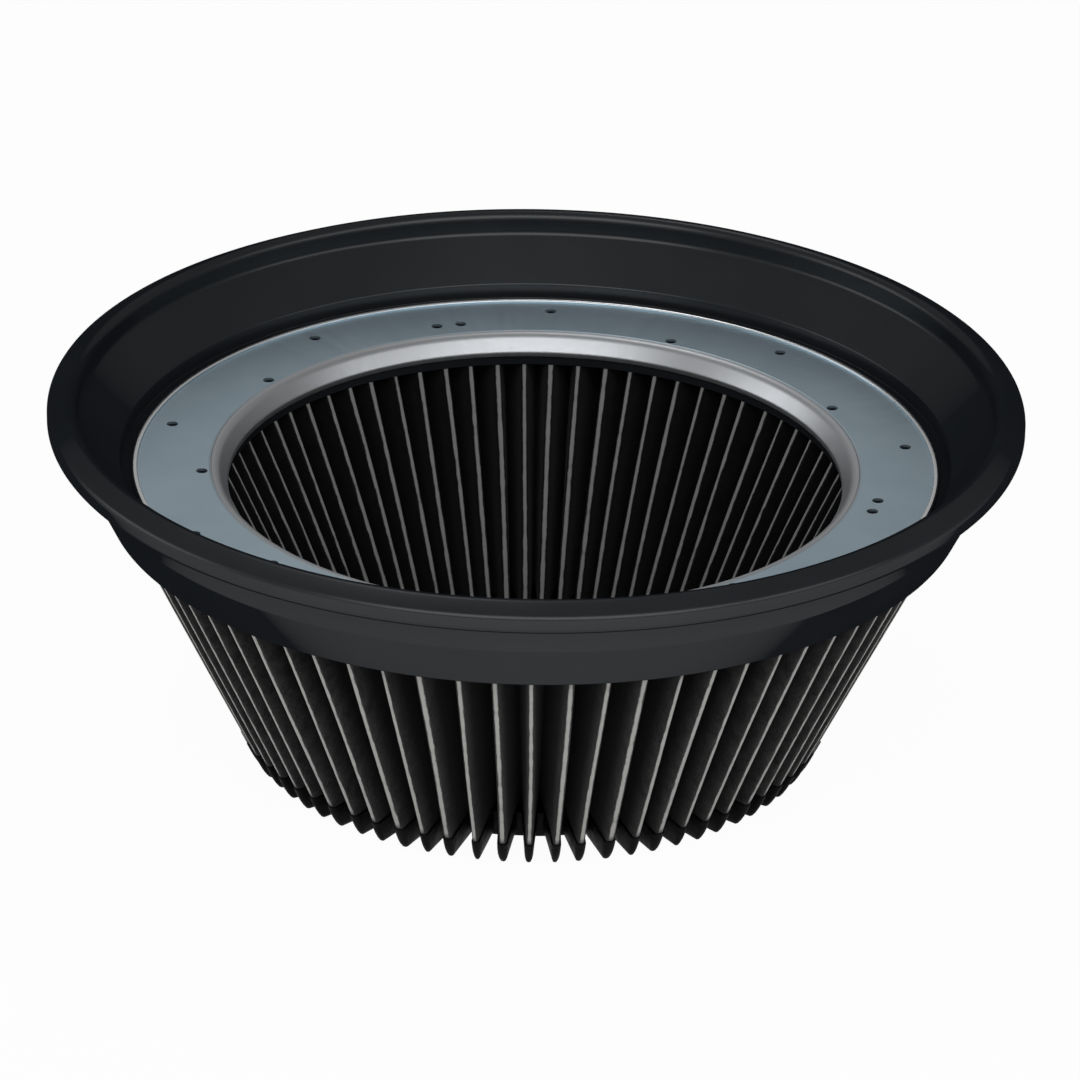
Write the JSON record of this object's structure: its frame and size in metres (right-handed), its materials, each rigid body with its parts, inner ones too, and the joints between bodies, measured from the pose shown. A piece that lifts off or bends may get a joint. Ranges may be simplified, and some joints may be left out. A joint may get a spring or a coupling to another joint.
{
  "type": "vacuum filter",
  "caption": "Cone-shaped pleated felt filter for a drum vacuum, with a black rubber seal lip, a zinc-plated steel collar plate round the air opening and a sealed lower end.",
  "frame": {"origin": "centre of the end cap's flat underside, on the surface that the filter stands on", "axes": "+Z along the cone's axis, from the end cap to the seal lip"},
  "size_m": [0.3706, 0.3706, 0.1438],
  "materials": {
    "seal_rubber": "moulded black rubber, satin",
    "zinc_sheet": "zinc-plated sheet steel, satin",
    "filter_felt": "black needled felt, lighter along the folds",
    "cap_casting": "black casting, matt"
  },
  "bodies": {
    "root": {"seal_ring": "seal_rubber", "top_plate": "zinc_sheet", "filter_cloth": "filter_felt", "end_cap": "cap_casting"}
  },
  "joints": []
}
